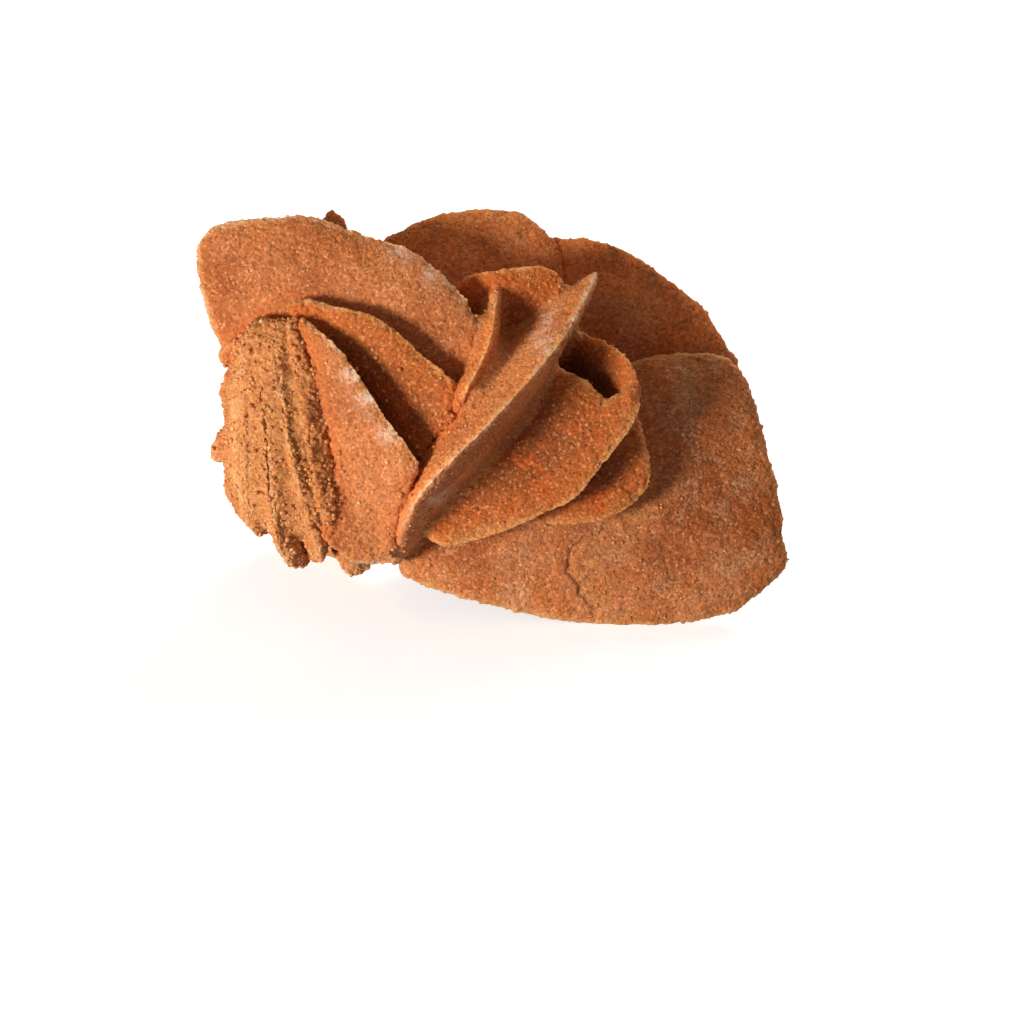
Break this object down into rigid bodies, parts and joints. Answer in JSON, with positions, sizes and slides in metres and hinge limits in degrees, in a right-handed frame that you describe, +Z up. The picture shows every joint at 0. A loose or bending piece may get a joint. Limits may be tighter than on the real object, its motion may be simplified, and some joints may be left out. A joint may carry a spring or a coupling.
{
  "type": "gypsum sand rose",
  "caption": "Sandy rosette of lens-shaped gypsum crystals grown into one another, standing on a blade edge and two rear blades.",
  "frame": {"origin": "centre of the bounding box's base, on the surface that the rose stands on", "axes": "+X to the viewer's right along the rose's width, +Y away from its front, +Z up"},
  "size_m": [0.0594, 0.03, 0.0381],
  "materials": {
    "sandy_gypsum": "matt, sugary crystal full of reddish-brown sand, lighter and slightly translucent at the rims",
    "dusky_gypsum": "matt, darker and rougher with dust, on the rear crystals"
  },
  "bodies": {
    "root": {"keel_blade": "sandy_gypsum", "great_blade": "sandy_gypsum", "upper_back_blade": "sandy_gypsum", "back_blade": "sandy_gypsum", "left_wing_blade": "sandy_gypsum", "front_petal": "sandy_gypsum", "hollow_petal": "sandy_gypsum", "lower_petal": "sandy_gypsum", "inner_spike": "sandy_gypsum", "inner_upper_petal": "sandy_gypsum", "fan_base_blade": "sandy_gypsum", "fan_blade_1": "sandy_gypsum", "fan_blade_2": "sandy_gypsum", "fan_blade_3": "sandy_gypsum", "fan_blade_4": "sandy_gypsum", "fan_blade_5": "sandy_gypsum", "fan_blade_6": "sandy_gypsum", "fan_blade_7": "sandy_gypsum", "fan_blade_8": "sandy_gypsum", "fan_blade_9": "sandy_gypsum", "fan_blade_10": "sandy_gypsum", "fan_tip_blade": "sandy_gypsum", "rear_keel_blade": "dusky_gypsum", "rear_left_blade": "dusky_gypsum", "rear_cross_blade": "dusky_gypsum", "rear_upper_blade": "dusky_gypsum", "rear_tip_blade": "dusky_gypsum", "rear_small_tip_blade": "dusky_gypsum", "rear_left_upper_blade": "dusky_gypsum"}
  },
  "joints": []
}
